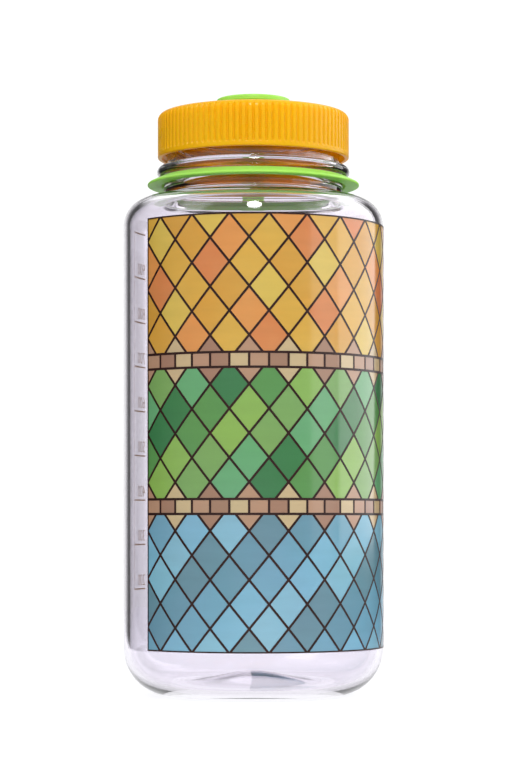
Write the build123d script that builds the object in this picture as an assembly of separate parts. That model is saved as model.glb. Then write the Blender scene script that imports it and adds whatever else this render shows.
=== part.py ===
from build123d import *
import os
from math import cos, radians, sqrt, tan

# A clear wide-mouth bottle with a ribbed screw cap, held to the neck by a flexible strap.
# Millimetres. The origin is the centre of the plane that the bottle stands on, +Z is up,
# the printed panel starts at the front (-Y) and the strap's arm is at the back (+Y).

# Body
BODY_RADIUS = 45.75
WALL = 2.2
BASE_CORNER = 16.7
FOOT_INNER_RADIUS = 24.0
FLOOR_RISE = 4.6
FLOOR_THICKNESS = 2.8
SHOULDER_CORNER = 9.8
SHOULDER_SLOPE = 12.0

# Neck
NECK_ROOT_Z = 175.7
NECK_RADIUS = 31.5
NECK_ROOT_FILLET = 0.8
THREADED_RADIUS = 30.3
MOUTH_RADIUS = 27.6
MOUTH_FLARE = 3.0
BEAD_RADIUS = 33.9
BEAD_LOW_Z = 182.1
BEAD_THICKNESS = 3.7
LIP_Z = 202.2
LIP_ROUND = 0.8

# Thread: one right-hand start. It lets go after THREAD_TURNS turns.
THREAD_PITCH = 4.23
THREAD_TURNS = 1.5
THREAD_START_Z = 191.2
THREAD_START_ANGLE = 100.0
THREAD_CREST_RADIUS = 31.6
THREAD_ROOT_WIDTH = 2.0
THREAD_CREST_WIDTH = 1.0
CAP_THREAD_DROP = 1.5
CAP_THREAD_CREST_RADIUS = 30.8
CAP_THREAD_ROOT_WIDTH = 1.8
CAP_THREAD_CREST_WIDTH = 0.9
THREAD_ROOT_SINK = 0.4

# Cap
CAP_RADIUS = 33.65
CAP_INNER_RADIUS = 32.1
CAP_LOW_Z = 188.75
CAP_TOP_Z = 204.6
CAP_TOP_THICKNESS = 2.1
CAP_TOP_CORNER = 2.4
CAP_LOW_CORNER = 0.5
BAND_TOP_Z = 190.2
GROOVE_TOP_Z = 204.0
GROOVE_COUNT = 94
GROOVE_RADIUS = 0.55
GROOVE_DEPTH = 0.45
SEAL_OUTER_RADIUS = 27.25
SEAL_INNER_RADIUS = 26.4
SEAL_LOW_Z = 200.2

# Pivot: a hub on the cap, a blind socket in it, and the button's shank in the socket
HUB_RADIUS = 6.0
HUB_TOP_Z = 207.7
SOCKET_OUTER_RADIUS = 6.4
SOCKET_LOW_Z = 196.6
SOCKET_RADIUS = 4.0
SOCKET_FLOOR_Z = 198.2
SNAP_GROOVE_RADIUS = 4.4
SNAP_GROOVE_LOW_Z = 199.4
SNAP_GROOVE_HEIGHT = 1.2
SHANK_RADIUS = 3.95
SHANK_LOW_Z = 198.5
SNAP_BEAD_RADIUS = 4.3
SNAP_BEAD_CLEARANCE = 0.2
HEAD_RADIUS = 13.0
HEAD_LOW_Z = 207.8
HEAD_RIM_Z = 209.7
HEAD_CROWN_Z = 210.6
HEAD_ROUND = 0.6

# Strap: a ring round the neck, an eye round the hub, and the arm between them
RING_INNER_RADIUS = 32.3
RING_RADIUS = 37.25
RING_TOP_RADIUS = 33.0
RING_LOW_Z = 179.0
RING_RIM_Z = 179.8
RING_TOP_Z = 181.8
STRAP_WIDTH = 9.0
STRAP_THICKNESS = 2.4
RING_TAB_Y = 38.6
ARM_BACK_Y = 44.6
ARM_TOP_Z = 210.0
ARM_LANDING_Y = 30.0
ARM_BENDS = (5.0, 6.5, 10.0)
EYE_INNER_RADIUS = 6.3
EYE_RADIUS = 12.6
EYE_LOW_Z = 204.8
EYE_THICKNESS = 2.7
EYE_TAB_Y = 22.0

# Printing: a panel with a frame line, and a graduation on the wall that it leaves clear.
# Azimuths are degrees from the front (-Y) towards the right (+X).
PRINT_THICKNESS = 0.12
FRAME_THICKNESS = 0.08
PANEL_LEFT_AZIMUTH = -51.8
PANEL_RIGHT_AZIMUTH = 181.8
PANEL_LOW_Z = 16.9
PANEL_TOP_Z = 164.5
FRAME_WIDTH = 0.8
SCALE_LINE_AZIMUTH = -100.3
SCALE_LINE_WIDTH = 0.5
TICK_SPAN = 15.4
TICK_HEIGHT = 0.5
TICK_COUNT = 9
FIRST_TICK_Z = 36.7
TICK_STEP = 15.9


def turned(outline):
    """Revolve a closed outline of (radius, height) about the Z axis."""
    return revolve(Plane.XZ * make_face(outline), Axis.Z)


def dome_arc(edge_radius, edge_z, centre_z):
    """Arc from an edge to the Z axis whose centre is on the axis, so that it turns into a sphere."""
    rise = centre_z - edge_z
    sphere_radius = (edge_radius**2 + rise**2) / (2 * rise)
    middle_radius = edge_radius / 2
    middle_z = centre_z - sphere_radius + sqrt(sphere_radius**2 - middle_radius**2)
    return ThreePointArc((edge_radius, edge_z), (middle_radius, middle_z), (0, centre_z))


def tube_sector(inner, outer, low, high, azimuth_low, azimuth_high):
    """Part of a tube between two heights and two azimuths."""
    face = Plane.XZ * Pos((inner + outer) / 2, (low + high) / 2) * Rectangle(outer - inner, high - low)
    placed = Rot(0, 0, azimuth_low - 90) * face
    return revolve(placed, Axis.Z, revolution_arc=azimuth_high - azimuth_low)


def thread_ridge(start_z, root_radius, crest_radius, root_width, crest_width):
    """Right-hand helical ridge, its root buried a little in the wall that carries it."""
    helix = Helix(THREAD_PITCH, THREAD_PITCH * THREAD_TURNS, root_radius)
    outward = 1 if crest_radius > root_radius else -1
    depth = abs(crest_radius - root_radius)
    section = make_face(
        Polyline(
            (-THREAD_ROOT_SINK * outward, -root_width / 2),
            (0, -root_width / 2),
            (depth * outward, -crest_width / 2),
            (depth * outward, crest_width / 2),
            (0, root_width / 2),
            (-THREAD_ROOT_SINK * outward, root_width / 2),
            close=True,
        )
    )
    start_plane = Plane(origin=helix @ 0, x_dir=(1, 0, 0), z_dir=(0, -1, 0))
    ridge = sweep(start_plane * section, path=helix, is_frenet=True)
    return Pos(0, 0, start_z) * Rot(0, 0, THREAD_START_ANGLE) * ridge


def bottle_outline():
    """Half section of the hollow body, from the floor up the outside and down the inside."""
    slope = tan(radians(SHOULDER_SLOPE))
    shoulder_z = NECK_ROOT_Z - (BODY_RADIUS - NECK_RADIUS) * slope
    bead_round = BEAD_THICKNESS / 2
    bead_top_z = BEAD_LOW_Z + BEAD_THICKNESS
    outside = FilletPolyline(
        (FOOT_INNER_RADIUS, 0),
        (BODY_RADIUS, 0),
        (BODY_RADIUS, shoulder_z),
        (NECK_RADIUS, NECK_ROOT_Z),
        (NECK_RADIUS, BEAD_LOW_Z),
        radius=[BASE_CORNER, SHOULDER_CORNER, NECK_ROOT_FILLET],
    )
    bead_centre = (BEAD_RADIUS - bead_round, BEAD_LOW_Z + bead_round)
    bead_low = Line((NECK_RADIUS, BEAD_LOW_Z), (bead_centre[0], BEAD_LOW_Z))
    bead_face = CenterArc(bead_centre, bead_round, -90, 180)
    finish = FilletPolyline(
        (bead_centre[0], bead_top_z),
        (THREADED_RADIUS, bead_top_z),
        (THREADED_RADIUS, LIP_Z),
        (MOUTH_RADIUS, LIP_Z),
        (MOUTH_RADIUS, LIP_Z - MOUTH_FLARE),
        radius=[LIP_ROUND / 2, LIP_ROUND, LIP_ROUND],
    )
    inner_drop = WALL / cos(radians(SHOULDER_SLOPE))
    inner_radius = BODY_RADIUS - WALL
    inner_root_z = NECK_ROOT_Z + (NECK_RADIUS - MOUTH_RADIUS) * slope - inner_drop
    inner_shoulder_z = NECK_ROOT_Z - (inner_radius - NECK_RADIUS) * slope - inner_drop
    inside = FilletPolyline(
        (MOUTH_RADIUS, LIP_Z - MOUTH_FLARE),
        (MOUTH_RADIUS, inner_root_z),
        (inner_radius, inner_shoulder_z),
        (inner_radius, FLOOR_THICKNESS),
        (FOOT_INNER_RADIUS, FLOOR_THICKNESS),
        radius=[MOUTH_FLARE, SHOULDER_CORNER - WALL, BASE_CORNER - FLOOR_THICKNESS],
    )
    floor_top = dome_arc(FOOT_INNER_RADIUS, FLOOR_THICKNESS, FLOOR_THICKNESS + FLOOR_RISE)
    axis_line = Line((0, FLOOR_THICKNESS + FLOOR_RISE), (0, FLOOR_RISE))
    floor_under = dome_arc(FOOT_INNER_RADIUS, 0, FLOOR_RISE)
    return [outside, bead_low, bead_face, finish, inside, floor_top, axis_line, floor_under]


def make_bottle():
    ridge = thread_ridge(
        THREAD_START_Z, THREADED_RADIUS, THREAD_CREST_RADIUS, THREAD_ROOT_WIDTH, THREAD_CREST_WIDTH
    )
    return turned(bottle_outline()) + ridge


def cap_outline():
    """Half section of the cap with its seal fin, hub and blind socket."""
    ceiling_z = CAP_TOP_Z - CAP_TOP_THICKNESS
    groove_top_z = SNAP_GROOVE_LOW_Z + SNAP_GROOVE_HEIGHT
    outside = FilletPolyline(
        (CAP_INNER_RADIUS, CAP_LOW_Z),
        (CAP_RADIUS, CAP_LOW_Z),
        (CAP_RADIUS, CAP_TOP_Z),
        (HUB_RADIUS, CAP_TOP_Z),
        radius=[CAP_LOW_CORNER, CAP_TOP_CORNER],
    )
    rest = Polyline(
        (HUB_RADIUS, CAP_TOP_Z),
        (HUB_RADIUS, HUB_TOP_Z),
        (SOCKET_RADIUS, HUB_TOP_Z),
        (SOCKET_RADIUS, groove_top_z),
        (SNAP_GROOVE_RADIUS, groove_top_z),
        (SNAP_GROOVE_RADIUS, SNAP_GROOVE_LOW_Z),
        (SOCKET_RADIUS, SNAP_GROOVE_LOW_Z),
        (SOCKET_RADIUS, SOCKET_FLOOR_Z),
        (0, SOCKET_FLOOR_Z),
        (0, SOCKET_LOW_Z),
        (SOCKET_OUTER_RADIUS, SOCKET_LOW_Z),
        (SOCKET_OUTER_RADIUS, ceiling_z),
        (SEAL_INNER_RADIUS, ceiling_z),
        (SEAL_INNER_RADIUS, SEAL_LOW_Z),
        (SEAL_OUTER_RADIUS, SEAL_LOW_Z),
        (SEAL_OUTER_RADIUS, ceiling_z),
        (CAP_INNER_RADIUS, ceiling_z),
        (CAP_INNER_RADIUS, CAP_LOW_Z),
    )
    return [outside, rest]


def grip_grooves():
    """The round-bottomed grooves between the ribs, as one cutting tool."""
    centre_radius = CAP_RADIUS + GROOVE_RADIUS - GROOVE_DEPTH
    places = PolarLocations(centre_radius, GROOVE_COUNT)
    circles = Sketch() + [place * Circle(GROOVE_RADIUS) for place in places]
    return extrude(Pos(0, 0, BAND_TOP_Z) * circles, GROOVE_TOP_Z - BAND_TOP_Z)


def make_cap():
    ridge = thread_ridge(
        THREAD_START_Z - CAP_THREAD_DROP,
        CAP_INNER_RADIUS,
        CAP_THREAD_CREST_RADIUS,
        CAP_THREAD_ROOT_WIDTH,
        CAP_THREAD_CREST_WIDTH,
    )
    return turned(cap_outline()) - grip_grooves() + ridge


def make_pivot_button():
    """Snap rivet: a crowned head, a shank and a snap bead."""
    bead_low_z = SNAP_GROOVE_LOW_Z + SNAP_BEAD_CLEARANCE
    bead_top_z = SNAP_GROOVE_LOW_Z + SNAP_GROOVE_HEIGHT - SNAP_BEAD_CLEARANCE
    crown = dome_arc(HEAD_RADIUS, HEAD_RIM_Z, HEAD_CROWN_Z)
    rest = Polyline(
        (0, HEAD_CROWN_Z),
        (0, SHANK_LOW_Z),
        (SHANK_RADIUS, SHANK_LOW_Z),
        (SHANK_RADIUS, bead_low_z),
        (SNAP_BEAD_RADIUS, bead_low_z),
        (SNAP_BEAD_RADIUS, bead_top_z),
        (SHANK_RADIUS, bead_top_z),
        (SHANK_RADIUS, HEAD_LOW_Z),
        (HEAD_RADIUS, HEAD_LOW_Z),
        (HEAD_RADIUS, HEAD_RIM_Z),
    )
    button = turned([crown, rest])
    rim_edges = button.edges().filter_by(GeomType.CIRCLE).sort_by(SortBy.RADIUS)[-2:]
    return fillet(rim_edges, HEAD_ROUND)


def strap_tab(y_from, y_to, z_low):
    """Flat bar of strap section along +Y."""
    length = y_to - y_from
    bar = Box(STRAP_WIDTH, length, STRAP_THICKNESS, align=(Align.CENTER, Align.MIN, Align.MIN))
    return Pos(0, y_from, z_low) * bar


def make_neck_ring():
    ring = turned(
        [
            Polyline(
                (RING_INNER_RADIUS, RING_LOW_Z),
                (RING_RADIUS, RING_LOW_Z),
                (RING_RADIUS, RING_RIM_Z),
                (RING_TOP_RADIUS, RING_TOP_Z),
                (RING_INNER_RADIUS, RING_TOP_Z),
                close=True,
            )
        ]
    )
    return ring + strap_tab(RING_TOP_RADIUS, RING_TAB_Y, RING_LOW_Z)


def make_swivel_eye():
    disc = Pos(0, 0, EYE_LOW_Z) * extrude(Circle(EYE_RADIUS) - Circle(EYE_INNER_RADIUS), EYE_THICKNESS)
    tab = strap_tab((EYE_INNER_RADIUS + EYE_RADIUS) / 2, EYE_TAB_Y, EYE_LOW_Z)
    return disc + tab


def make_strap_arm():
    """Ribbon that leaves the ring, rises behind the cap and comes over it to the eye."""
    low_z = RING_LOW_Z + STRAP_THICKNESS / 2
    eye_z = EYE_LOW_Z + STRAP_THICKNESS / 2
    route = FilletPolyline(
        (RING_TAB_Y, low_z),
        (ARM_BACK_Y, low_z),
        (ARM_BACK_Y, ARM_TOP_Z),
        (ARM_LANDING_Y, eye_z),
        (EYE_TAB_Y, eye_z),
        radius=list(ARM_BENDS),
    )
    ribbon = Plane.YZ * trace(route, STRAP_THICKNESS)
    return extrude(ribbon, STRAP_WIDTH / 2, both=True)


def make_art_print():
    return tube_sector(
        BODY_RADIUS,
        BODY_RADIUS + PRINT_THICKNESS,
        PANEL_LOW_Z,
        PANEL_TOP_Z,
        PANEL_LEFT_AZIMUTH,
        PANEL_RIGHT_AZIMUTH,
    )


def make_art_border():
    """Frame line on the panel's edge."""
    inner = BODY_RADIUS + PRINT_THICKNESS
    outer = inner + FRAME_THICKNESS
    angle = FRAME_WIDTH / radians(BODY_RADIUS)
    panel = tube_sector(inner, outer, PANEL_LOW_Z, PANEL_TOP_Z, PANEL_LEFT_AZIMUTH, PANEL_RIGHT_AZIMUTH)
    window = tube_sector(
        inner - WALL,
        outer + WALL,
        PANEL_LOW_Z + FRAME_WIDTH,
        PANEL_TOP_Z - FRAME_WIDTH,
        PANEL_LEFT_AZIMUTH + angle,
        PANEL_RIGHT_AZIMUTH - angle,
    )
    return panel - window


def make_volume_scale():
    """One tick for each 100 ml, joined by an upright line."""
    outer = BODY_RADIUS + PRINT_THICKNESS
    line_angle = SCALE_LINE_WIDTH / radians(BODY_RADIUS)
    top_z = FIRST_TICK_Z + (TICK_COUNT - 1) * TICK_STEP + TICK_HEIGHT
    line_end = SCALE_LINE_AZIMUTH + line_angle
    scale = tube_sector(BODY_RADIUS, outer, FIRST_TICK_Z, top_z, SCALE_LINE_AZIMUTH, line_end)
    for index in range(TICK_COUNT):
        low = FIRST_TICK_Z + index * TICK_STEP
        tick_start = SCALE_LINE_AZIMUTH - TICK_SPAN
        scale += tube_sector(BODY_RADIUS, outer, low, low + TICK_HEIGHT, tick_start, line_end)
    return scale


NODES = {
    "bottle": make_bottle,
    "cap": make_cap,
    "pivot_button": make_pivot_button,
    "neck_ring": make_neck_ring,
    "strap_arm": make_strap_arm,
    "swivel_eye": make_swivel_eye,
    "art_print": make_art_print,
    "art_border": make_art_border,
    "volume_scale": make_volume_scale,
}

os.makedirs("parts", exist_ok=True)
for node, make in NODES.items():
    export_step(make(), f"parts/{node}.step")
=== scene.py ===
import bpy
import bmesh
from math import acos, ceil, cos, pi, radians, sin, sqrt, tan
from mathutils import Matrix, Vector
from mathutils.geometry import delaunay_2d_cdt


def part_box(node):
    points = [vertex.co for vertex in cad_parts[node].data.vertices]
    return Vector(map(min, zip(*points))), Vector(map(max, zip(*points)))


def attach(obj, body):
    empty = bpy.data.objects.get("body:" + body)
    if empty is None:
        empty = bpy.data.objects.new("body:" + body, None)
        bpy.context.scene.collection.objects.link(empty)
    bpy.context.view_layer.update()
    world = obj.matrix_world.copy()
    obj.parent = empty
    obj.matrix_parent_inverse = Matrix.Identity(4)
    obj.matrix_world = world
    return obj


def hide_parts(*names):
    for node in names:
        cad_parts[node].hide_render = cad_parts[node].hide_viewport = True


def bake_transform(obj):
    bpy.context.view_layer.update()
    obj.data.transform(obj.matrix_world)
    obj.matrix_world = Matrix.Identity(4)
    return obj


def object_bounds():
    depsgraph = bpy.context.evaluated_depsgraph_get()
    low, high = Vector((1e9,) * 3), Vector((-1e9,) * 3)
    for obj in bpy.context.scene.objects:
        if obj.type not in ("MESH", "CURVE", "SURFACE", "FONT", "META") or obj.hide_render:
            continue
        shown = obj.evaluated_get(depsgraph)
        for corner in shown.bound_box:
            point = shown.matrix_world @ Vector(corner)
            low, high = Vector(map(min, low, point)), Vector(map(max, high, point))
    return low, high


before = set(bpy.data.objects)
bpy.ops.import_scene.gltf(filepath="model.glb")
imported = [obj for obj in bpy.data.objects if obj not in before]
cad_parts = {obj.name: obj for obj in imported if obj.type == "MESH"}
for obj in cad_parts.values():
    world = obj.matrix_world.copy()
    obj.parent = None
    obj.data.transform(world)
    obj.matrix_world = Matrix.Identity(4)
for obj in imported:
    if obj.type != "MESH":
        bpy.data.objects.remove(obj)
cad_low, cad_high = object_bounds()

mm = 0.001

# ---------------------------------------------------------------------------
# Sizes. The boxes of the parts in model.glb give the outer sizes, and the hidden sizes repeat the CAD
# model's. Some are meant to differ:
# the grooves are deeper, the neck's inner corner is rounded, and the ink and its frame line are thinner.
# ---------------------------------------------------------------------------

_, bottle_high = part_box("bottle")
cap_low, cap_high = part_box("cap")
button_low, button_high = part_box("pivot_button")
ring_low, ring_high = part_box("neck_ring")
eye_low, eye_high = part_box("swivel_eye")
panel_low, panel_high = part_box("art_print")
scale_low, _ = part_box("volume_scale")

BODY_RADIUS = bottle_high.x
WALL = 2.2 * mm
BASE_CORNER = 16.7 * mm
FOOT_INNER_RADIUS = 24.0 * mm
FLOOR_RISE = 4.6 * mm
FLOOR_THICKNESS = 2.8 * mm
SHOULDER_CORNER = 9.8 * mm
SHOULDER_SLOPE = radians(12)
NECK_ROOT_Z = 175.7 * mm
NECK_RADIUS = 31.5 * mm
THREADED_RADIUS = 30.3 * mm
MOUTH_RADIUS = 27.6 * mm
MOUTH_FLARE = 3.0 * mm
NECK_BLEND = 7.0 * mm
BEAD_RADIUS = 33.9 * mm
BEAD_LOW_Z = 182.1 * mm
BEAD_THICKNESS = 3.7 * mm
LIP_Z = bottle_high.z

THREAD_PITCH = 4.23 * mm
THREAD_TURNS = 1.5
THREAD_START_Z = 191.2 * mm
THREAD_START_ANGLE = radians(100)
THREAD_DEPTH = 1.3 * mm
THREAD_ROOT_WIDTH = 2.0 * mm
THREAD_CREST_WIDTH = 1.0 * mm
CAP_THREAD_DROP = 1.5 * mm

CAP_RADIUS = cap_high.x
CAP_INNER_RADIUS = 32.1 * mm
CAP_LOW_Z = cap_low.z
CAP_TOP_Z = 204.6 * mm
CAP_TOP_THICKNESS = 2.1 * mm
CAP_TOP_CORNER = 2.4 * mm
BAND_TOP_Z = 190.2 * mm
GROOVE_COUNT = 94
GROOVE_DEPTH = 0.7 * mm
GROOVE_HALF_SHARE = 0.22
GROOVE_RUN_OUT = 0.7 * mm
HUB_RADIUS = 6.0 * mm
SOCKET_RADIUS = 4.0 * mm
SOCKET_OUTER_RADIUS = 6.4 * mm
SOCKET_FLOOR_Z = 198.2 * mm
SOCKET_LOW_Z = 196.6 * mm
SEAL_OUTER_RADIUS = 27.25 * mm
SEAL_INNER_RADIUS = 26.4 * mm
SEAL_LOW_Z = 200.2 * mm

HEAD_LOW_Z = 207.8 * mm
HEAD_RIM_Z = 209.7 * mm
SHANK_RADIUS = 3.95 * mm

RING_INNER_RADIUS = 32.3 * mm
RING_TOP_RADIUS = 33.0 * mm
RING_RIM_Z = 179.8 * mm
STRAP_WIDTH = 9.0 * mm
STRAP_THICKNESS = 2.4 * mm
ARM_BACK_Y = 44.6 * mm
ARM_TOP_Z = 210.0 * mm
ARM_LANDING_Y = 30.0 * mm
EYE_INNER_RADIUS = 6.3 * mm
EYE_RADIUS = 12.6 * mm

PANEL_LEFT = radians(-51.8)
PANEL_RIGHT = radians(181.8)
PANEL_WIDTH = (PANEL_RIGHT - PANEL_LEFT) * BODY_RADIUS
PANEL_HEIGHT = panel_high.z - panel_low.z
SCALE_LINE = radians(-100.3)
TICK_SPAN = radians(15.4)
TICK_COUNT = 9
TICK_STEP = 15.9 * mm
TICK_HEIGHT = 0.5 * mm

INK_GAP = 0.01 * mm
INK_THICKNESS = 0.035 * mm
LINE_THICKNESS = 0.06 * mm


# ---------------------------------------------------------------------------
# Mesh helpers
# ---------------------------------------------------------------------------

COARSEST_TURN = radians(9)
LONGEST_CHORD = 0.6 * mm
NEARLY_ZERO = 1e-7

BODY_SEGMENTS = 288
SEGMENTS_PER_GROOVE = 12
BUTTON_SEGMENTS = 128
RING_SEGMENTS = 180
EYE_SEGMENTS = 96
NECK_ROW = 0.25 * mm
CAP_ROW = 0.3 * mm
SMALL_MARGIN = 0.3 * mm
ON_SURFACE = 0.01 * mm
THREAD_END_TURNS = 0.05


def make_object(name, mesh, material):
    obj = bpy.data.objects.new(name, mesh)
    obj.data.materials.append(material)
    bpy.context.scene.collection.objects.link(obj)
    return obj


def mesh_from(bm, name, smooth=True):
    bmesh.ops.recalc_face_normals(bm, faces=bm.faces)
    for face in bm.faces:
        face.smooth = smooth
    mesh = bpy.data.meshes.new(name)
    bm.to_mesh(mesh)
    bm.free()
    return mesh


def turned(vector, angle):
    """Two-dimensional vector turned anticlockwise."""
    across = Vector((-vector.y, vector.x))
    return vector * cos(angle) + across * sin(angle)


def fillet(before, corner, after, rounding):
    """Points of the arc that rounds a corner between two straight runs."""
    corner = Vector(corner)
    to_before = (Vector(before) - corner).normalized()
    to_after = (Vector(after) - corner).normalized()
    half = acos(max(-1.0, min(1.0, to_before.dot(to_after)))) / 2
    reach = rounding / tan(half)
    centre = corner + (to_before + to_after).normalized() * (rounding / sin(half))
    start = corner + to_before * reach - centre
    end = corner + to_after * reach - centre
    sweep = (pi - 2 * half) * (1 if start.x * end.y > start.y * end.x else -1)
    count = ceil(max(abs(sweep) / COARSEST_TURN, abs(sweep) * rounding / LONGEST_CHORD))
    return [centre + turned(start, sweep * index / count) for index in range(count + 1)]


def rounded(corners):
    """Outline through (x, y, rounding) corners, its corners rounded by tangent arcs."""
    points = []
    for index, (x, y, rounding) in enumerate(corners):
        if rounding == 0:
            points.append(Vector((x, y)))
        else:
            points += fillet(corners[index - 1][:2], (x, y), corners[index + 1][:2], rounding)
    return points


def supported(points, margin=0.5 * mm):
    """Adds a point close to each end of the long runs, so that the rounding beside a run shades true."""
    result = [points[0]]
    for start, end in zip(points, points[1:]):
        run = end - start
        if run.length > 4 * margin:
            step = run.normalized() * margin
            result += [start + step, end - step]
        result.append(end)
    return result


def with_rows(points, low, high, step):
    """Cuts the upright runs between two heights into short rows."""
    result = [points[0]]
    for start, end in zip(points, points[1:]):
        upright = abs(start.x - end.x) < NEARLY_ZERO
        inside = min(start.y, end.y) < high and max(start.y, end.y) > low
        rows = ceil((end - start).length / step) if upright and inside else 1
        for index in range(1, rows + 1):
            result.append(start.lerp(end, index / rows))
    return result


def lathe(profile, segments, radius_at=None, closed=False):
    """Profile of (radius, height) points turned about Z. A point on the axis becomes one vertex."""
    bm = bmesh.new()
    rings = []
    for point in profile:
        if point.x < NEARLY_ZERO:
            rings.append([bm.verts.new((0, 0, point.y))])
            continue
        ring = []
        for index in range(segments):
            angle = 2 * pi * index / segments
            radius = radius_at(angle, point.x, point.y) if radius_at else point.x
            ring.append(bm.verts.new((radius * cos(angle), radius * sin(angle), point.y)))
        rings.append(ring)
    pairs = list(zip(rings, rings[1:]))
    if closed:
        pairs.append((rings[-1], rings[0]))
    for first, second in pairs:
        for index in range(segments):
            after = (index + 1) % segments
            corners = [first[index % len(first)], first[after % len(first)]]
            corners += [second[after % len(second)], second[index % len(second)]]
            unique = list(dict.fromkeys(corners))
            if len(unique) > 2:
                bm.faces.new(unique)
    return bm


def smoothstep(value, low, high):
    t = max(0.0, min(1.0, (value - low) / (high - low)))
    return t * t * (3 - 2 * t)


def thread_height(angle, z, start_z):
    """How far the helical ridge stands out at an angle and a height, from 0 to 1."""
    turn = ((angle - THREAD_START_ANGLE) / (2 * pi)) % 1.0
    height = 0.0
    while turn < THREAD_TURNS:
        off_centre = abs(z - start_z - THREAD_PITCH * turn)
        flank = 1 - smoothstep(off_centre, THREAD_CREST_WIDTH * 0.3, THREAD_ROOT_WIDTH * 0.55)
        start = smoothstep(turn, 0, THREAD_END_TURNS)
        end = 1 - smoothstep(turn, THREAD_TURNS - THREAD_END_TURNS, THREAD_TURNS)
        height = max(height, flank * (start * end))
        turn += 1
    return height


# ---------------------------------------------------------------------------
# Materials
# ---------------------------------------------------------------------------

CLEAR_IOR = 1.54
MOULDED_IOR = 1.4
MOULDED_GRAIN = 0.08
SOAKED_LIGHT = 0.12
SOAK_DEPTH = 1.5 * mm
COAT_IOR = 1.6
FLOOR_GLOW = 0.94


def srgb(red, green, blue):
    """Linear colour of 0 to 255 display values."""
    linear = []
    for value in (red, green, blue):
        share = value / 255
        linear.append(share / 12.92 if share <= 0.04045 else ((share + 0.055) / 1.055) ** 2.4)
    return (*linear, 1.0)


class Nodes:
    """Short names for the nodes that the materials share."""

    def __init__(self, name):
        self.material = bpy.data.materials.new(name)
        self.material.use_nodes = True
        self.tree = self.material.node_tree
        self.shader = self.tree.nodes["Principled BSDF"]

    def add(self, kind, **values):
        node = self.tree.nodes.new(kind)
        for key, value in values.items():
            setattr(node, key, value)
        return node

    def link(self, output, socket):
        self.tree.links.new(output, socket)

    def place(self, stretch=(1, 1, 1)):
        """Object coordinates, stretched."""
        coordinates = self.add("ShaderNodeTexCoord")
        mapping = self.add("ShaderNodeMapping")
        mapping.inputs["Scale"].default_value = stretch
        self.link(coordinates.outputs["Object"], mapping.inputs["Vector"])
        return mapping.outputs["Vector"]

    def noise(self, scale, detail=3.0, roughness=0.5, stretch=(1, 1, 1)):
        noise = self.add("ShaderNodeTexNoise")
        noise.inputs["Scale"].default_value = scale
        noise.inputs["Detail"].default_value = detail
        noise.inputs["Roughness"].default_value = roughness
        self.link(self.place(stretch), noise.inputs["Vector"])
        return noise.outputs["Fac"]

    def ramp(self, factor, *stops):
        """Colour ramp of (position, colour) stops."""
        ramp = self.add("ShaderNodeValToRGB")
        elements = ramp.color_ramp.elements
        while len(elements) < len(stops):
            elements.new(1.0)
        for element, (position, colour) in zip(elements, stops):
            element.position = position
            element.color = colour
        self.link(factor, ramp.inputs["Fac"])
        return ramp.outputs["Color"]

    def between(self, factor, low, high):
        """A factor of 0 to 1 mapped to a range."""
        mapped = self.add("ShaderNodeMapRange")
        mapped.inputs["To Min"].default_value = low
        mapped.inputs["To Max"].default_value = high
        self.link(factor, mapped.inputs["Value"])
        return mapped.outputs["Result"]

    def bump(self, height, strength, distance):
        bump = self.add("ShaderNodeBump")
        bump.inputs["Strength"].default_value = strength
        bump.inputs["Distance"].default_value = distance
        self.link(height, bump.inputs["Height"])
        self.link(bump.outputs["Normal"], self.shader.inputs["Normal"])

    def let_light_through(self, colour, share):
        """Mixes in light that comes from behind."""
        back = self.add("ShaderNodeBsdfTranslucent")
        mix = self.add("ShaderNodeMixShader")
        mix.inputs["Fac"].default_value = share
        self.link(colour, back.inputs["Color"])
        self.link(self.shader.outputs["BSDF"], mix.inputs[1])
        self.link(back.outputs["BSDF"], mix.inputs[2])
        self.link(mix.outputs["Shader"], self.tree.nodes["Material Output"].inputs["Surface"])


def clear_plastic():
    """Faintly lilac clear plastic, its wall a little uneven, as blow moulding leaves it."""
    nodes = Nodes("clear_plastic")
    shader = nodes.shader
    shader.inputs["Transmission Weight"].default_value = 1.0
    shader.inputs["IOR"].default_value = CLEAR_IOR
    tint = nodes.noise(9.0, 2.0)
    colour = nodes.ramp(tint, (0.3, (0.9, 0.872, 0.935, 1)), (0.7, (0.92, 0.893, 0.95, 1)))
    nodes.link(colour, shader.inputs["Base Color"])
    nodes.link(nodes.between(nodes.noise(60.0, 4.0), 0.0, 0.03), shader.inputs["Roughness"])
    nodes.bump(nodes.noise(22.0, 1.0, stretch=(1, 1, 0.3)), 0.03, 0.4 * mm)
    return nodes.material


def moulded_plastic(name, low, high, roughness, see_through):
    """Satin moulded plastic with slow colour drift, uneven gloss and a fine grain."""
    nodes = Nodes(name)
    shader = nodes.shader
    colour = nodes.ramp(nodes.noise(35.0, 3.0), (0.3, low), (0.7, high))
    nodes.link(colour, shader.inputs["Base Color"])
    rough = nodes.between(nodes.noise(160.0, 4.0), roughness - 0.06, roughness + 0.08)
    nodes.link(rough, shader.inputs["Roughness"])
    shader.inputs["Subsurface Weight"].default_value = SOAKED_LIGHT
    shader.inputs["Subsurface Radius"].default_value = (1.0, 0.6, 0.2)
    shader.inputs["Subsurface Scale"].default_value = SOAK_DEPTH
    shader.inputs["IOR"].default_value = MOULDED_IOR
    nodes.bump(nodes.noise(1800.0, 2.0), MOULDED_GRAIN, 0.05 * mm)
    nodes.let_light_through(colour, see_through)
    return nodes.material


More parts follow.
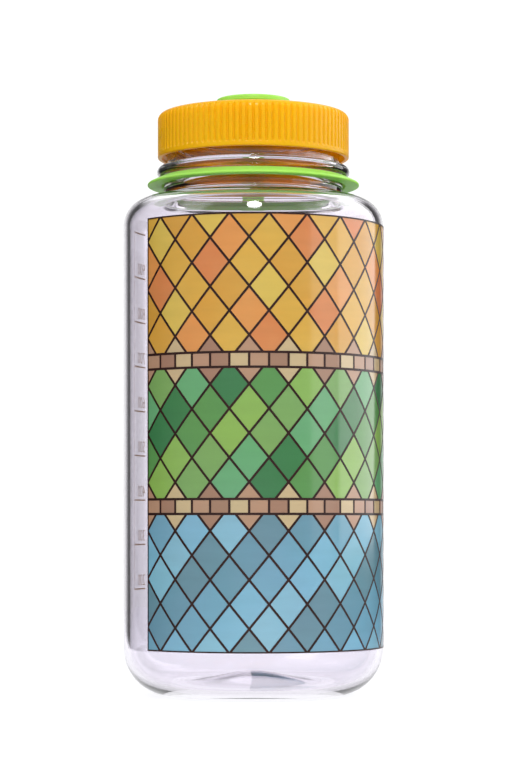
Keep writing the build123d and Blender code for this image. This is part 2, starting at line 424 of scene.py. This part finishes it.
def pane_ink():
    """Enamel ink in each pane's own colour, drifting slowly in tone, with faint level streaks."""
    nodes = Nodes("pane_ink")
    shader = nodes.shader
    colour = nodes.add("ShaderNodeAttribute", attribute_name="pane_colour")
    drift = nodes.noise(30.0, 3.0)
    streaks = nodes.noise(120.0, 4.0, stretch=(0.4, 0.4, 2.5))
    tone = nodes.add("ShaderNodeHueSaturation")
    nodes.link(nodes.between(drift, 0.485, 0.515), tone.inputs["Hue"])
    nodes.link(nodes.between(drift, 1.08, 0.92), tone.inputs["Saturation"])
    nodes.link(nodes.between(streaks, 1.12, 1.3), tone.inputs["Value"])
    nodes.link(colour.outputs["Color"], tone.inputs["Color"])
    nodes.link(tone.outputs["Color"], shader.inputs["Base Color"])
    nodes.link(nodes.between(nodes.noise(90.0, 3.0), 0.12, 0.24), shader.inputs["Roughness"])
    nodes.bump(nodes.noise(420.0, 3.0), 0.05, 0.05 * mm)
    shader.inputs["Specular IOR Level"].default_value = 1.0
    shader.inputs["Coat Weight"].default_value = 1.0
    shader.inputs["Coat IOR"].default_value = COAT_IOR
    shader.inputs["Coat Roughness"].default_value = 0.12
    nodes.let_light_through(tone.outputs["Color"], 0.45)
    return nodes.material


def line_ink(name, low, high, roughness, see_through=0.0):
    """Plain enamel ink in one colour that drifts slowly between two tones."""
    nodes = Nodes(name)
    colour = nodes.ramp(nodes.noise(70.0, 3.0), (0.3, low), (0.7, high))
    nodes.link(colour, nodes.shader.inputs["Base Color"])
    nodes.shader.inputs["Specular IOR Level"].default_value = 0.4
    rough = nodes.between(nodes.noise(300.0, 3.0), roughness - 0.08, roughness + 0.08)
    nodes.link(rough, nodes.shader.inputs["Roughness"])
    nodes.bump(nodes.noise(900.0, 2.0), 0.15, 0.03 * mm)
    if see_through:
        nodes.let_light_through(colour, see_through)
    return nodes.material


def floor_paper():
    """Frosted top of a light table."""
    nodes = Nodes("floor_paper")
    colour = nodes.ramp(nodes.noise(3.0, 3.0), (0.3, srgb(82, 82, 84)), (0.7, srgb(88, 88, 90)))
    nodes.link(colour, nodes.shader.inputs["Base Color"])
    nodes.shader.inputs["Roughness"].default_value = 0.75
    nodes.shader.inputs["Emission Color"].default_value = srgb(252, 252, 255)
    nodes.shader.inputs["Emission Strength"].default_value = FLOOR_GLOW
    return nodes.material


CLEAR = clear_plastic()
CAP_PLASTIC = moulded_plastic("cap_plastic", srgb(252, 198, 6), srgb(255, 208, 14), 0.28, 0.45)
STRAP_PLASTIC = moulded_plastic("strap_plastic", srgb(172, 234, 98), srgb(186, 242, 112), 0.36, 0.32)
PANE_INK = pane_ink()
LINE_INK = line_ink("line_ink", srgb(30, 7, 3), srgb(44, 13, 7), 0.3)
SCALE_INK = line_ink("scale_ink", srgb(232, 208, 182), srgb(240, 220, 198), 0.45, 0.8)


# ---------------------------------------------------------------------------
# Clear body
# ---------------------------------------------------------------------------


def dome(edge_radius, edge_z, centre_z, steps=10):
    """Points of a sphere cap from its edge to the axis."""
    rise = centre_z - edge_z
    sphere = (edge_radius**2 + rise**2) / (2 * rise)
    points = []
    for index in range(steps + 1):
        radius = edge_radius * (1 - index / steps)
        points.append(Vector((radius, centre_z - sphere + sqrt(sphere**2 - radius**2))))
    return points


def bell(edge_radius, edge_z, centre_z, steps=48):
    """Points of a smooth push-up from its edge to the axis."""
    points = []
    for index in range(steps + 1):
        share = 1 - index / steps
        rise = (centre_z - edge_z) * (0.5 + 0.5 * cos(pi * share))
        points.append(Vector((edge_radius * share, edge_z + rise)))
    return points


def bottle_profile():
    slope = tan(SHOULDER_SLOPE)
    bead_round = BEAD_THICKNESS / 2
    bead_top = BEAD_LOW_Z + BEAD_THICKNESS
    outside = rounded(
        [
            (FOOT_INNER_RADIUS + 0.6 * mm, 0, 0),
            (BODY_RADIUS, 0, BASE_CORNER),
            (BODY_RADIUS, NECK_ROOT_Z - (BODY_RADIUS - NECK_RADIUS) * slope, SHOULDER_CORNER),
            (NECK_RADIUS, NECK_ROOT_Z, 0.8 * mm),
            (NECK_RADIUS, BEAD_LOW_Z, 0.3 * mm),
            (BEAD_RADIUS, BEAD_LOW_Z, bead_round * 0.98),
            (BEAD_RADIUS, bead_top, bead_round * 0.98),
            (THREADED_RADIUS, bead_top, 0.5 * mm),
            (THREADED_RADIUS, LIP_Z, 0.8 * mm),
            (MOUTH_RADIUS, LIP_Z, 0.8 * mm),
            (MOUTH_RADIUS, LIP_Z - MOUTH_FLARE, 0),
        ]
    )
    drop = WALL / cos(SHOULDER_SLOPE)
    inner_radius = BODY_RADIUS - WALL
    shoulder_z = NECK_ROOT_Z - (inner_radius - NECK_RADIUS) * slope
    inside = rounded(
        [
            (MOUTH_RADIUS, LIP_Z - MOUTH_FLARE, 0),
            (MOUTH_RADIUS, NECK_ROOT_Z + (NECK_RADIUS - MOUTH_RADIUS) * slope - drop, NECK_BLEND),
            (inner_radius, shoulder_z - drop, SHOULDER_CORNER - WALL),
            (inner_radius, FLOOR_THICKNESS, BASE_CORNER - FLOOR_THICKNESS),
            (FOOT_INNER_RADIUS, FLOOR_THICKNESS, 0),
        ]
    )
    under = list(reversed(bell(FOOT_INNER_RADIUS, 0.05 * mm, FLOOR_RISE)))
    over = bell(FOOT_INNER_RADIUS, FLOOR_THICKNESS, FLOOR_THICKNESS + FLOOR_RISE)
    profile = under + outside + inside[1:] + over[1:]
    return with_rows(supported(profile), bead_top, LIP_Z, NECK_ROW)


def neck_radius_at(angle, radius, z):
    on_thread = abs(radius - THREADED_RADIUS) < ON_SURFACE
    if not on_thread:
        return radius
    return radius + THREAD_DEPTH * thread_height(angle, z, THREAD_START_Z)


def make_bottle():
    mesh = mesh_from(lathe(bottle_profile(), BODY_SEGMENTS, neck_radius_at), "clear_body")
    obj = make_object("clear_body", mesh, CLEAR)
    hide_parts("bottle")
    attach(obj, "bottle")


# ---------------------------------------------------------------------------
# Cap and button
# ---------------------------------------------------------------------------


def cap_profile():
    ceiling = CAP_TOP_Z - CAP_TOP_THICKNESS
    corners = [
        (0, SOCKET_FLOOR_Z, 0),
        (SOCKET_RADIUS, SOCKET_FLOOR_Z, 0.3 * mm),
        (SOCKET_RADIUS, cap_high.z, 0.2 * mm),
        (HUB_RADIUS, cap_high.z, 0.2 * mm),
        (HUB_RADIUS, CAP_TOP_Z, 0.4 * mm),
        (CAP_RADIUS, CAP_TOP_Z, CAP_TOP_CORNER),
        (CAP_RADIUS, CAP_LOW_Z, 0.5 * mm),
        (CAP_INNER_RADIUS, CAP_LOW_Z, 0.3 * mm),
        (CAP_INNER_RADIUS, ceiling, 0.6 * mm),
        (SEAL_OUTER_RADIUS, ceiling, 0.3 * mm),
        (SEAL_OUTER_RADIUS, SEAL_LOW_Z, 0.3 * mm),
        (SEAL_INNER_RADIUS, SEAL_LOW_Z, 0.3 * mm),
        (SEAL_INNER_RADIUS, ceiling, 0.4 * mm),
        (SOCKET_OUTER_RADIUS, ceiling, 0.6 * mm),
        (SOCKET_OUTER_RADIUS, SOCKET_LOW_Z, 0.5 * mm),
        (0, SOCKET_LOW_Z, 0),
    ]
    return with_rows(supported(rounded(corners), SMALL_MARGIN), CAP_LOW_Z, ceiling, CAP_ROW)


def groove_depth(angle):
    """Share of the full depth: flat-topped ribs with round-bottomed grooves between them."""
    across = (angle * GROOVE_COUNT / (2 * pi)) % 1.0
    off_centre = abs(across - 0.5) / GROOVE_HALF_SHARE
    if off_centre >= 1:
        return 0.0
    return sqrt(1 - off_centre**2)


def cap_radius_at(angle, radius, z):
    if radius > CAP_INNER_RADIUS + 0.1 * mm and z > BAND_TOP_Z:
        reach = smoothstep(z, BAND_TOP_Z, BAND_TOP_Z + GROOVE_RUN_OUT)
        return min(radius, CAP_RADIUS - GROOVE_DEPTH * groove_depth(angle) * reach)
    if abs(radius - CAP_INNER_RADIUS) < ON_SURFACE:
        return radius - THREAD_DEPTH * thread_height(angle, z, THREAD_START_Z - CAP_THREAD_DROP)
    return radius


def make_cap():
    bm = lathe(cap_profile(), GROOVE_COUNT * SEGMENTS_PER_GROOVE, cap_radius_at)
    obj = make_object("ribbed_cap", mesh_from(bm, "ribbed_cap"), CAP_PLASTIC)
    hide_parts("cap")
    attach(obj, "cap")


def make_button():
    head_radius = button_high.x
    crown = dome(head_radius - 0.7 * mm, HEAD_RIM_Z + 0.1 * mm, button_high.z)
    rim = rounded(
        [
            (0, button_low.z, 0),
            (SHANK_RADIUS, button_low.z, 0.4 * mm),
            (SHANK_RADIUS, HEAD_LOW_Z, 0.3 * mm),
            (head_radius, HEAD_LOW_Z, 0.45 * mm),
            (head_radius, HEAD_RIM_Z + 0.05 * mm, 0.8 * mm),
            (head_radius - 2 * mm, HEAD_RIM_Z + 0.2 * mm, 0),
        ]
    )
    profile = supported(rim[:-1], SMALL_MARGIN) + [p for p in crown if p.x < head_radius - 1.2 * mm]
    obj = make_object("pivot_head", mesh_from(lathe(profile, BUTTON_SEGMENTS), "pivot_head"), STRAP_PLASTIC)
    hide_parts("pivot_button")
    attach(obj, "pivot_button")


# ---------------------------------------------------------------------------
# Strap: ring, arm and eye as one moulding
# ---------------------------------------------------------------------------

STRAP_VOXEL = 0.3 * mm


def ring_lathe():
    corners = [
        (RING_INNER_RADIUS, ring_low.z, 0),
        (ring_high.x, ring_low.z, 0.2 * mm),
        (ring_high.x, RING_RIM_Z, 0.2 * mm),
        (RING_TOP_RADIUS, ring_high.z, 0.2 * mm),
        (RING_INNER_RADIUS, ring_high.z, 0),
    ]
    return lathe(rounded(corners), RING_SEGMENTS, closed=True)


def eye_lathe():
    corners = [
        (EYE_INNER_RADIUS, eye_low.z, 0),
        (EYE_RADIUS, eye_low.z, 0.4 * mm),
        (EYE_RADIUS, eye_high.z, 0.4 * mm),
        (EYE_INNER_RADIUS, eye_high.z, 0),
    ]
    return lathe(rounded(corners), EYE_SEGMENTS, closed=True)


def arm_route():
    """Centre line of the arm in (Y, Z): out from the ring, up behind the cap, over it to the eye."""
    low_z = ring_low.z + STRAP_THICKNESS / 2
    eye_z = eye_low.z + STRAP_THICKNESS / 2
    return rounded(
        [
            (RING_INNER_RADIUS + 2.2 * mm, low_z, 0),
            (ARM_BACK_Y, low_z, 5.0 * mm),
            (ARM_BACK_Y, ARM_TOP_Z, 6.5 * mm),
            (ARM_LANDING_Y, eye_z, 10.0 * mm),
            ((EYE_INNER_RADIUS + EYE_RADIUS) / 2, eye_z, 0),
        ]
    )


def arm_ribbon():
    """Ribbon of strap section along the route."""
    route = arm_route()
    bm = bmesh.new()
    loops = []
    for index, point in enumerate(route):
        before = route[max(0, index - 1)]
        after = route[min(len(route) - 1, index + 1)]
        along = (after - before).normalized()
        across = Vector((-along.y, along.x)) * STRAP_THICKNESS / 2
        loop = []
        for side, face in ((-1, -1), (1, -1), (1, 1), (-1, 1)):
            edge = point + across * face
            loop.append(bm.verts.new((side * STRAP_WIDTH / 2, edge.x, edge.y)))
        loops.append(loop)
    for first, second in zip(loops, loops[1:]):
        for index in range(4):
            after = (index + 1) % 4
            bm.faces.new((first[index], first[after], second[after], second[index]))
    bm.faces.new(loops[0])
    bm.faces.new(loops[-1])
    return bm


def make_strap():
    """Ring, arm and eye fused into one surface."""
    whole = bmesh.new()
    for part in (ring_lathe(), arm_ribbon(), eye_lathe()):
        mesh = mesh_from(part, "strap_part")
        whole.from_mesh(mesh)
        bpy.data.meshes.remove(mesh)
    obj = make_object("strap", mesh_from(whole, "strap"), STRAP_PLASTIC)
    remesh = obj.modifiers.new("fuse", "REMESH")
    remesh.mode = "VOXEL"
    remesh.voxel_size = STRAP_VOXEL
    relax = obj.modifiers.new("relax", "SMOOTH")
    relax.factor = 0.5
    relax.iterations = 2
    graph = bpy.context.evaluated_depsgraph_get()
    fused = bpy.data.meshes.new_from_object(obj.evaluated_get(graph))
    obj.modifiers.clear()
    obj.data = fused
    for face in fused.polygons:
        face.use_smooth = True
    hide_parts("neck_ring", "strap_arm", "swivel_eye")
    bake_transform(obj)


# ---------------------------------------------------------------------------
# Printing. Everything is drawn flat in millimetres, then wrapped round the wall.
# ---------------------------------------------------------------------------

WRAP_STEP = 1.5
FILM_EDGE = radians(30)


def wrap(bm, left_azimuth, low_z, inner_radius, thickness):
    """Turns a flat drawing (x along the wall, y up, in mm) into a thin closed film on the wall."""
    start = min(v.co.x for v in bm.verts)
    end = max(v.co.x for v in bm.verts)
    for index in range(1, ceil((end - start) / WRAP_STEP)):
        geometry = bm.verts[:] + bm.edges[:] + bm.faces[:]
        cut = (start + index * WRAP_STEP, 0, 0)
        bmesh.ops.bisect_plane(bm, geom=geometry, plane_co=cut, plane_no=(1, 0, 0), dist=1e-5)
    bottom = bm.faces[:]
    for face in bottom:
        if face.normal.z > 0:
            face.normal_flip()
    result = bmesh.ops.extrude_face_region(bm, geom=bottom, use_keep_orig=True)
    for item in result["geom"]:
        if isinstance(item, bmesh.types.BMVert):
            item.co.z = 1
    for vertex in bm.verts:
        azimuth = left_azimuth + vertex.co.x * mm / BODY_RADIUS
        radius = inner_radius + thickness * vertex.co.z
        vertex.co = (radius * sin(azimuth), -radius * cos(azimuth), low_z + vertex.co.y * mm)


def flat_mesh(points, faces, colours=None):
    """Flat drawing from points in mm and faces of point numbers, each face in its own colour."""
    bm = bmesh.new()
    layer = bm.loops.layers.float_color.new("pane_colour")
    verts = [bm.verts.new((p[0], p[1], 0)) for p in points]
    for index, corners in enumerate(faces):
        face = bm.faces.new([verts[c] for c in corners])
        if colours:
            for loop in face.loops:
                loop[layer] = colours[index]
    stray = [v for v in bm.verts if not v.link_faces]
    bmesh.ops.delete(bm, geom=stray, context="VERTS")
    bm.normal_update()
    return bm


def film(name, bm, node_body, material, left_azimuth, low_z, inner_radius, thickness):
    """Flat drawing turned into a skin of ink on the wall, which rides on a body."""
    wrap(bm, left_azimuth, low_z, inner_radius, thickness)
    mesh = mesh_from(bm, name)
    mesh.set_sharp_from_angle(angle=FILM_EDGE)
    obj = make_object(name, mesh, material)
    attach(obj, node_body)
    return obj


# The printed panel carries a plain lattice of diamonds in three equal bands of colour, with a belt of
# blocks between two bands. It depicts nothing. In mm: X runs along the wall from the panel's left edge, Y up.

PANEL_W = PANEL_WIDTH / mm
PANEL_H = PANEL_HEIGHT / mm
LATTICE_COLUMNS = 14
LATTICE_ROWS = 9
HALF_ROWS = 2 * LATTICE_ROWS
BAND_HALF_ROWS = 6
BELT_COUNT = 28
BELT_HEIGHT = 5.0

TONES = {
    "upper": ("amber", "gold", "straw", "coral", "honey", "gold", "apricot"),
    "middle": ("teal", "leaf", "forest", "spring", "moss"),
    "lower": ("lake", "slate", "pool", "steel", "mist"),
    "belt": ("tan", "clay", "sand"),
}

PALETTE = {
    "coral": srgb(216, 142, 80),
    "apricot": srgb(222, 160, 84),
    "amber": srgb(214, 166, 64),
    "honey": srgb(216, 170, 66),
    "gold": srgb(218, 180, 74),
    "straw": srgb(218, 194, 92),
    "tan": srgb(190, 152, 124),
    "clay": srgb(172, 132, 108),
    "sand": srgb(206, 186, 146),
    "teal": srgb(110, 178, 124),
    "leaf": srgb(148, 188, 92),
    "spring": srgb(132, 176, 100),
    "forest": srgb(58, 132, 76),
    "moss": srgb(96, 158, 84),
    "slate": srgb(110, 152, 166),
    "steel": srgb(112, 160, 178),
    "lake": srgb(122, 174, 194),
    "pool": srgb(134, 188, 208),
    "mist": srgb(142, 192, 208),
}

LINE = 0.8
DISC_SIDES = 8
FRAME_LINE = 0.5
TICK_GAP = 0.02
FIRST_NUMERAL = 200
NUMERAL_INTERVAL = 100
CAPITAL_SHARE = 0.72
NUMERAL_HEIGHT = 4.2
NUMERAL_WIDTH = 7.3
NUMERAL_RISE = 1.5
NUMERAL_THINNING = 0.07


def band_of(half_row):
    """The band that a row of diamonds belongs to. A row centred on the join of two bands is the belt's."""
    if half_row % BAND_HALF_ROWS == 0 and 0 < half_row < HALF_ROWS:
        return "belt"
    return ("lower", "middle", "upper", "upper")[half_row // BAND_HALF_ROWS]


def lattice_panes():
    """Equal diamonds over the whole panel, (band, colour, outline) each."""
    width = PANEL_W / LATTICE_COLUMNS
    height = PANEL_H / LATTICE_ROWS
    panes = []
    for half_row in range(HALF_ROWS + 1):
        band = band_of(half_row)
        tones = TONES[band]
        y = 0.5 * half_row * height
        for column in range(LATTICE_COLUMNS + 1):
            x = (column + 0.5 * (half_row % 2)) * width
            left, right = x - width / 2, x + width / 2
            low, high = y - height / 2, y + height / 2
            outline = [(left, y), (x, low), (right, y), (x, high)]
            tone = tones[(2 * column + 3 * half_row) % len(tones)]
            panes.append((band, tone, outline))
    return panes


def belt_panes():
    """A belt of equal blocks over each join of two bands."""
    width = PANEL_W / BELT_COUNT
    tones = TONES["belt"]
    panes = []
    for half_row in range(BAND_HALF_ROWS, HALF_ROWS, BAND_HALF_ROWS):
        middle = half_row * PANEL_H / HALF_ROWS
        low, high = middle - BELT_HEIGHT / 2, middle + BELT_HEIGHT / 2
        for index in range(BELT_COUNT):
            left, right = index * width, (index + 1) * width
            outline = [(left, low), (right, low), (right, high), (left, high)]
            panes.append(("belt", tones[index % len(tones)], outline))
    return panes


def counter_clockwise(outline):
    """The outline, turned round if it runs clockwise."""
    area = 0.0
    for (x0, y0), (x1, y1) in zip(outline, outline[1:] + outline[:1]):
        area += x0 * y1 - x1 * y0
    return outline if area > 0 else outline[::-1]


def overlay(outlines):
    """Triangles of the panel, each with the list of outlines that cover it. Outline 0 is the panel itself."""
    panel = [(0, 0), (PANEL_W, 0), (PANEL_W, PANEL_H), (0, PANEL_H)]
    points = []
    faces = []
    for outline in [panel, *outlines]:
        start = len(points)
        points += [Vector(p) for p in counter_clockwise(outline)]
        faces.append(list(range(start, len(points))))
    verts, _, triangles, _, _, cover = delaunay_2d_cdt(points, [], faces, 1, 1e-4, True)
    inside = [index for index, owners in enumerate(cover) if 0 in owners]
    return verts, [triangles[index] for index in inside], [cover[index] for index in inside]


def line_edges(triangles, tops):
    """Edges where two panes meet."""
    beside = {}
    for triangle, top in zip(triangles, tops):
        for a, b in zip(triangle, triangle[1:] + triangle[:1]):
            beside.setdefault((min(a, b), max(a, b)), set()).add(top)
    return [edge for edge, owners in beside.items() if len(owners) == 2]


def disc(centre, radius):
    """Points of a small round dot."""
    angles = [2 * pi * index / DISC_SIDES for index in range(DISC_SIDES)]
    return [centre + Vector((radius * cos(angle), radius * sin(angle))) for angle in angles]


def line_blocks(edges, verts):
    """Convex outlines that make up the lead lines: a block along each edge and a disc at each end."""
    blocks = []
    for a, b in edges:
        along = verts[b] - verts[a]
        across = Vector((-along.y, along.x)).normalized() * LINE / 2
        blocks.append([verts[a] - across, verts[b] - across, verts[b] + across, verts[a] + across])
    ends = sorted({vertex for edge in edges for vertex in edge})
    return blocks + [disc(verts[vertex], LINE / 2) for vertex in ends]


def holds(block, point):
    """Whether a point is inside a convex outline that runs counter-clockwise."""
    return all((b - a).cross(point - a) >= 0 for a, b in zip(block, block[1:] + block[:1]))


def lead_line_faces(edges, verts):
    """One flat sheet of triangles under all the lead lines."""
    blocks = line_blocks(edges, verts)
    verts, triangles, cover = overlay(blocks)
    faces = []
    for triangle, owners in zip(triangles, cover):
        middle = sum((verts[vertex] for vertex in triangle), Vector((0, 0))) / 3
        if any(holds(blocks[owner - 1], middle) for owner in owners if owner > 0):
            faces.append(triangle)
    return verts, faces


def make_pattern():
    """Panes of ink in each band's colours, with lead lines over the joins between them."""
    panes = [*lattice_panes(), *belt_panes()]
    verts, triangles, cover = overlay([outline for _, _, outline in panes])
    tops = [max(owners) - 1 for owners in cover]
    for band in TONES:
        chosen = [index for index, top in enumerate(tops) if top >= 0 and panes[top][0] == band]
        faces = [triangles[index] for index in chosen]
        colours = [PALETTE[panes[tops[index]][1]] for index in chosen]
        obj = film(
            f"{band}_panes",
            flat_mesh(verts, faces, colours),
            "bottle",
            PANE_INK,
            PANEL_LEFT,
            panel_low.z,
            BODY_RADIUS + INK_GAP,
            INK_THICKNESS,
        )
        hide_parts("art_print")
    verts, inked = lead_line_faces(line_edges(triangles, tops), verts)
    film(
        "lead_lines",
        flat_mesh(verts, inked),
        "bottle",
        LINE_INK,
        PANEL_LEFT,
        panel_low.z,
        BODY_RADIUS + INK_GAP * 2 + INK_THICKNESS,
        LINE_THICKNESS,
    )


def make_frame_line():
    """Thin dark frame round the panel."""
    w, h, t = PANEL_W, PANEL_H, FRAME_LINE
    points = [(0, 0), (w, 0), (w, h), (0, h), (t, t), (w - t, t), (w - t, h - t), (t, h - t)]
    faces = [(0, 1, 5, 4), (1, 2, 6, 5), (2, 3, 7, 6), (3, 0, 4, 7)]
    obj = film(
        "frame_line",
        flat_mesh(points, faces),
        "bottle",
        LINE_INK,
        PANEL_LEFT,
        panel_low.z,
        BODY_RADIUS + INK_GAP * 3 + INK_THICKNESS + LINE_THICKNESS,
        INK_THICKNESS,
    )
    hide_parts("art_border")


def numeral(text, height):
    """Flat triangles of a number, its lower left corner at the origin, in mm."""
    data = bpy.data.curves.new("numeral", "FONT")
    data.body = text
    data.size = height / CAPITAL_SHARE
    data.offset = -NUMERAL_THINNING
    obj = bpy.data.objects.new("numeral", data)
    bpy.context.scene.collection.objects.link(obj)
    graph = bpy.context.evaluated_depsgraph_get()
    mesh = bpy.data.meshes.new_from_object(obj.evaluated_get(graph))
    bpy.data.objects.remove(obj)
    return mesh


def make_volume_scale():
    """Ticks each 100 ml with their numerals, joined by an upright line."""
    tick = TICK_SPAN * BODY_RADIUS / mm
    line = TICK_HEIGHT / mm
    step = TICK_STEP / mm
    top = step * (TICK_COUNT - 1) + line
    bm = flat_mesh(
        [(tick, 0), (tick + line, 0), (tick + line, top), (tick, top)],
        [(0, 1, 2, 3)],
    )
    for index in range(TICK_COUNT):
        low = index * step
        end = tick - TICK_GAP
        corners = [(0, low), (end, low), (end, low + line), (0, low + line)]
        bm.faces.new([bm.verts.new((x, y, 0)) for x, y in corners])
        if index < TICK_COUNT - 1:
            mesh = numeral(str(FIRST_NUMERAL + NUMERAL_INTERVAL * index), NUMERAL_HEIGHT)
            width = max(vertex.co.x for vertex in mesh.vertices)
            for vertex in mesh.vertices:
                vertex.co.x *= NUMERAL_WIDTH / width
                vertex.co.y += low + NUMERAL_RISE
            bm.from_mesh(mesh)
            bpy.data.meshes.remove(mesh)
    bmesh.ops.remove_doubles(bm, verts=bm.verts, dist=1e-4)
    bm.normal_update()
    obj = film(
        "graduation",
        bm,
        "bottle",
        SCALE_INK,
        SCALE_LINE - TICK_SPAN,
        scale_low.z,
        BODY_RADIUS + INK_GAP,
        INK_THICKNESS,
    )
    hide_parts("volume_scale")


# ---------------------------------------------------------------------------
# Studio and camera
# ---------------------------------------------------------------------------

FLOOR_HALF_WIDTH = 0.24
FLOOR_FRONT = -0.95
FLOOR_BACK = 0.9

CAMERA_DISTANCE = 0.8718
CAMERA_HEIGHT = 0.06055
SENSOR_WIDTH = 36
LENS = 117.56
LENS_SHIFT = (-0.0011, 0.1909)

# Radiance of the world by direction: start and end of the fade, and the radiance at each.
# Backdrop and room go by Y, which is 1 straight behind the object and -1 behind the camera.
# Ceiling goes by Z.
BACKDROP = (0.85, 0.97, 0.0, 1.06)
ROOM = (-0.6, 0.3, 0.48, 0.08)
CEILING = (0.35, 0.65, 0.0, 0.9)

# Name, shape, azimuth, elevation, distance, (width, height), mean radiance over the size
LIGHTS = (
    ("key", "ELLIPSE", 1, 38, 1.3, (0.26, 0.6), 18.5),
    ("right_box", "RECTANGLE", 105, 24, 0.9, (0.98, 0.93), 2.2),
    ("right_edge", "RECTANGLE", 63, 22, 1.0, (0.46, 0.93), 0.9),
    ("back_top", "RECTANGLE", 180, 42, 1.1, (0.9, 0.5), 0.8),
    ("left_fill", "RECTANGLE", -60, 34, 1.3, (0.6, 0.7), 1.6),
)


def make_floor():
    """Long, narrow strip of light table. The dark surround on either side keeps the clear edges dark."""
    w, front, back = FLOOR_HALF_WIDTH, FLOOR_FRONT, FLOOR_BACK
    bm = bmesh.new()
    bm.faces.new([bm.verts.new((x, y, 0)) for x, y in ((-w, front), (w, front), (w, back), (-w, back))])
    obj = make_object("floor", mesh_from(bm, "floor"), floor_paper())


def area_light(name, shape, azimuth, elevation, distance, size, radiance):
    """Softbox aimed at the object's middle. Azimuth 0 is the camera's side, 90 its right."""
    data = bpy.data.lights.new(name, "AREA")
    data.shape = shape
    data.size, data.size_y = size
    data.energy = radiance * pi * size[0] * size[1]
    light = bpy.data.objects.new(name, data)
    bpy.context.scene.collection.objects.link(light)
    target = (cad_low + cad_high) / 2
    a, e = radians(azimuth), radians(elevation)
    offset = Vector((sin(a) * cos(e), -cos(a) * cos(e), sin(e))) * distance
    light.location = target + offset
    light.rotation_euler = (-offset).to_track_quat("-Z", "Y").to_euler()
    return light


def fade(tree, value, start, end, low, high):
    """Value mapped smoothly from a start and end to a low and high radiance."""
    mapped = tree.nodes.new("ShaderNodeMapRange")
    mapped.interpolation_type = "SMOOTHSTEP"
    mapped.inputs["From Min"].default_value = start
    mapped.inputs["From Max"].default_value = end
    mapped.inputs["To Min"].default_value = low
    mapped.inputs["To Max"].default_value = high
    tree.links.new(value, mapped.inputs["Value"])
    return mapped.outputs["Result"]


def brighter(tree, first, second):
    """The larger of two radiances."""
    larger = tree.nodes.new("ShaderNodeMath")
    larger.operation = "MAXIMUM"
    tree.links.new(first, larger.inputs[0])
    tree.links.new(second, larger.inputs[1])
    return larger.outputs["Value"]


def make_world():
    """A white backdrop behind the object, dim sides, a soft ceiling and a pale room behind the camera."""
    world = bpy.data.worlds.new("studio")
    bpy.context.scene.world = world
    world.use_nodes = True
    tree = world.node_tree
    background = tree.nodes["Background"]
    coordinates = tree.nodes.new("ShaderNodeTexCoord")
    split = tree.nodes.new("ShaderNodeSeparateXYZ")
    tree.links.new(coordinates.outputs["Generated"], split.inputs["Vector"])
    backdrop = fade(tree, split.outputs["Y"], *BACKDROP)
    room = fade(tree, split.outputs["Y"], *ROOM)
    ceiling = fade(tree, split.outputs["Z"], *CEILING)
    radiance = brighter(tree, brighter(tree, backdrop, room), ceiling)
    tree.links.new(radiance, background.inputs["Strength"])
    background.inputs["Color"].default_value = (1.0, 1.0, 1.0, 1.0)


def make_studio():
    make_world()
    for light in LIGHTS:
        area_light(*light)
    bpy.context.scene.view_settings.view_transform = "Standard"


def make_camera():
    """Level camera a little above the table. Its shift frames the bottle as it stands in the picture."""
    data = bpy.data.cameras.new("camera")
    camera = bpy.data.objects.new("camera", data)
    bpy.context.scene.collection.objects.link(camera)
    camera.location = (0, -CAMERA_DISTANCE, CAMERA_HEIGHT)
    camera.rotation_euler = (radians(90), 0, 0)
    data.sensor_width = SENSOR_WIDTH
    data.lens = LENS
    data.shift_x, data.shift_y = LENS_SHIFT
    bpy.context.scene.camera = camera


make_camera()
make_bottle()
make_cap()
make_button()
make_strap()
make_pattern()
make_frame_line()
make_volume_scale()
make_floor()
make_studio()
